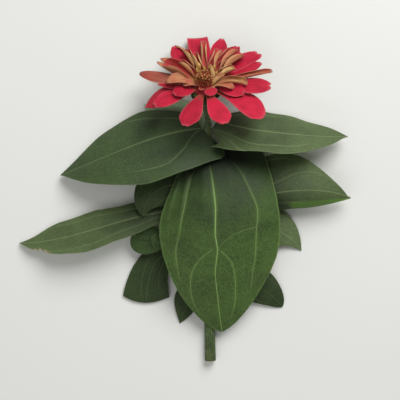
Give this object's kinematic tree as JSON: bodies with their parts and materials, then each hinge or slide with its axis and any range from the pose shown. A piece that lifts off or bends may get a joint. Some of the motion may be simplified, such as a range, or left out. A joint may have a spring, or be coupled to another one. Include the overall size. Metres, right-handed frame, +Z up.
{
  "type": "zinnia flower",
  "caption": "Cut zinnia lying on its side: a pink-red bloom with rolled inner petals, a hairy stem and broad paired green leaves.",
  "frame": {"origin": "middle of the whole flower's box, on the surface that it lies on", "axes": "+Z up from the surface, +Y along the stem from its cut end to the bloom, +X to the right seen from above"},
  "size_m": [0.184, 0.18, 0.0416],
  "materials": {
    "petal": "soft velvety pink-red, paler along the margins",
    "rolled_petal": "soft salmon to tan underside of rolled petals",
    "disc": "dark maroon scales with golden florets, dull",
    "bract": "dull green with a dark dry rim",
    "stem": "dull green with short stiff hairs",
    "leaf": "rough dark green with pale veins and fine hairs",
    "young_leaf": "dull green with fine hairs"
  },
  "bodies": {
    "root": {"involucre": "bract", "outer_petals": "petal", "inner_petals": "rolled_petal", "disc_florets": "disc", "stem": "stem", "leaf_upper_left": "leaf", "leaf_upper_right": "leaf", "leaf_front": "leaf", "leaf_back": "leaf", "leaf_middle_left": "leaf", "leaf_middle_right": "leaf", "leaf_small_left": "leaf", "leaf_lower_left": "leaf", "leaf_lower_right": "leaf", "leaf_base_left": "leaf", "leaf_base_right": "leaf", "side_shoot": "young_leaf"}
  },
  "joints": []
}
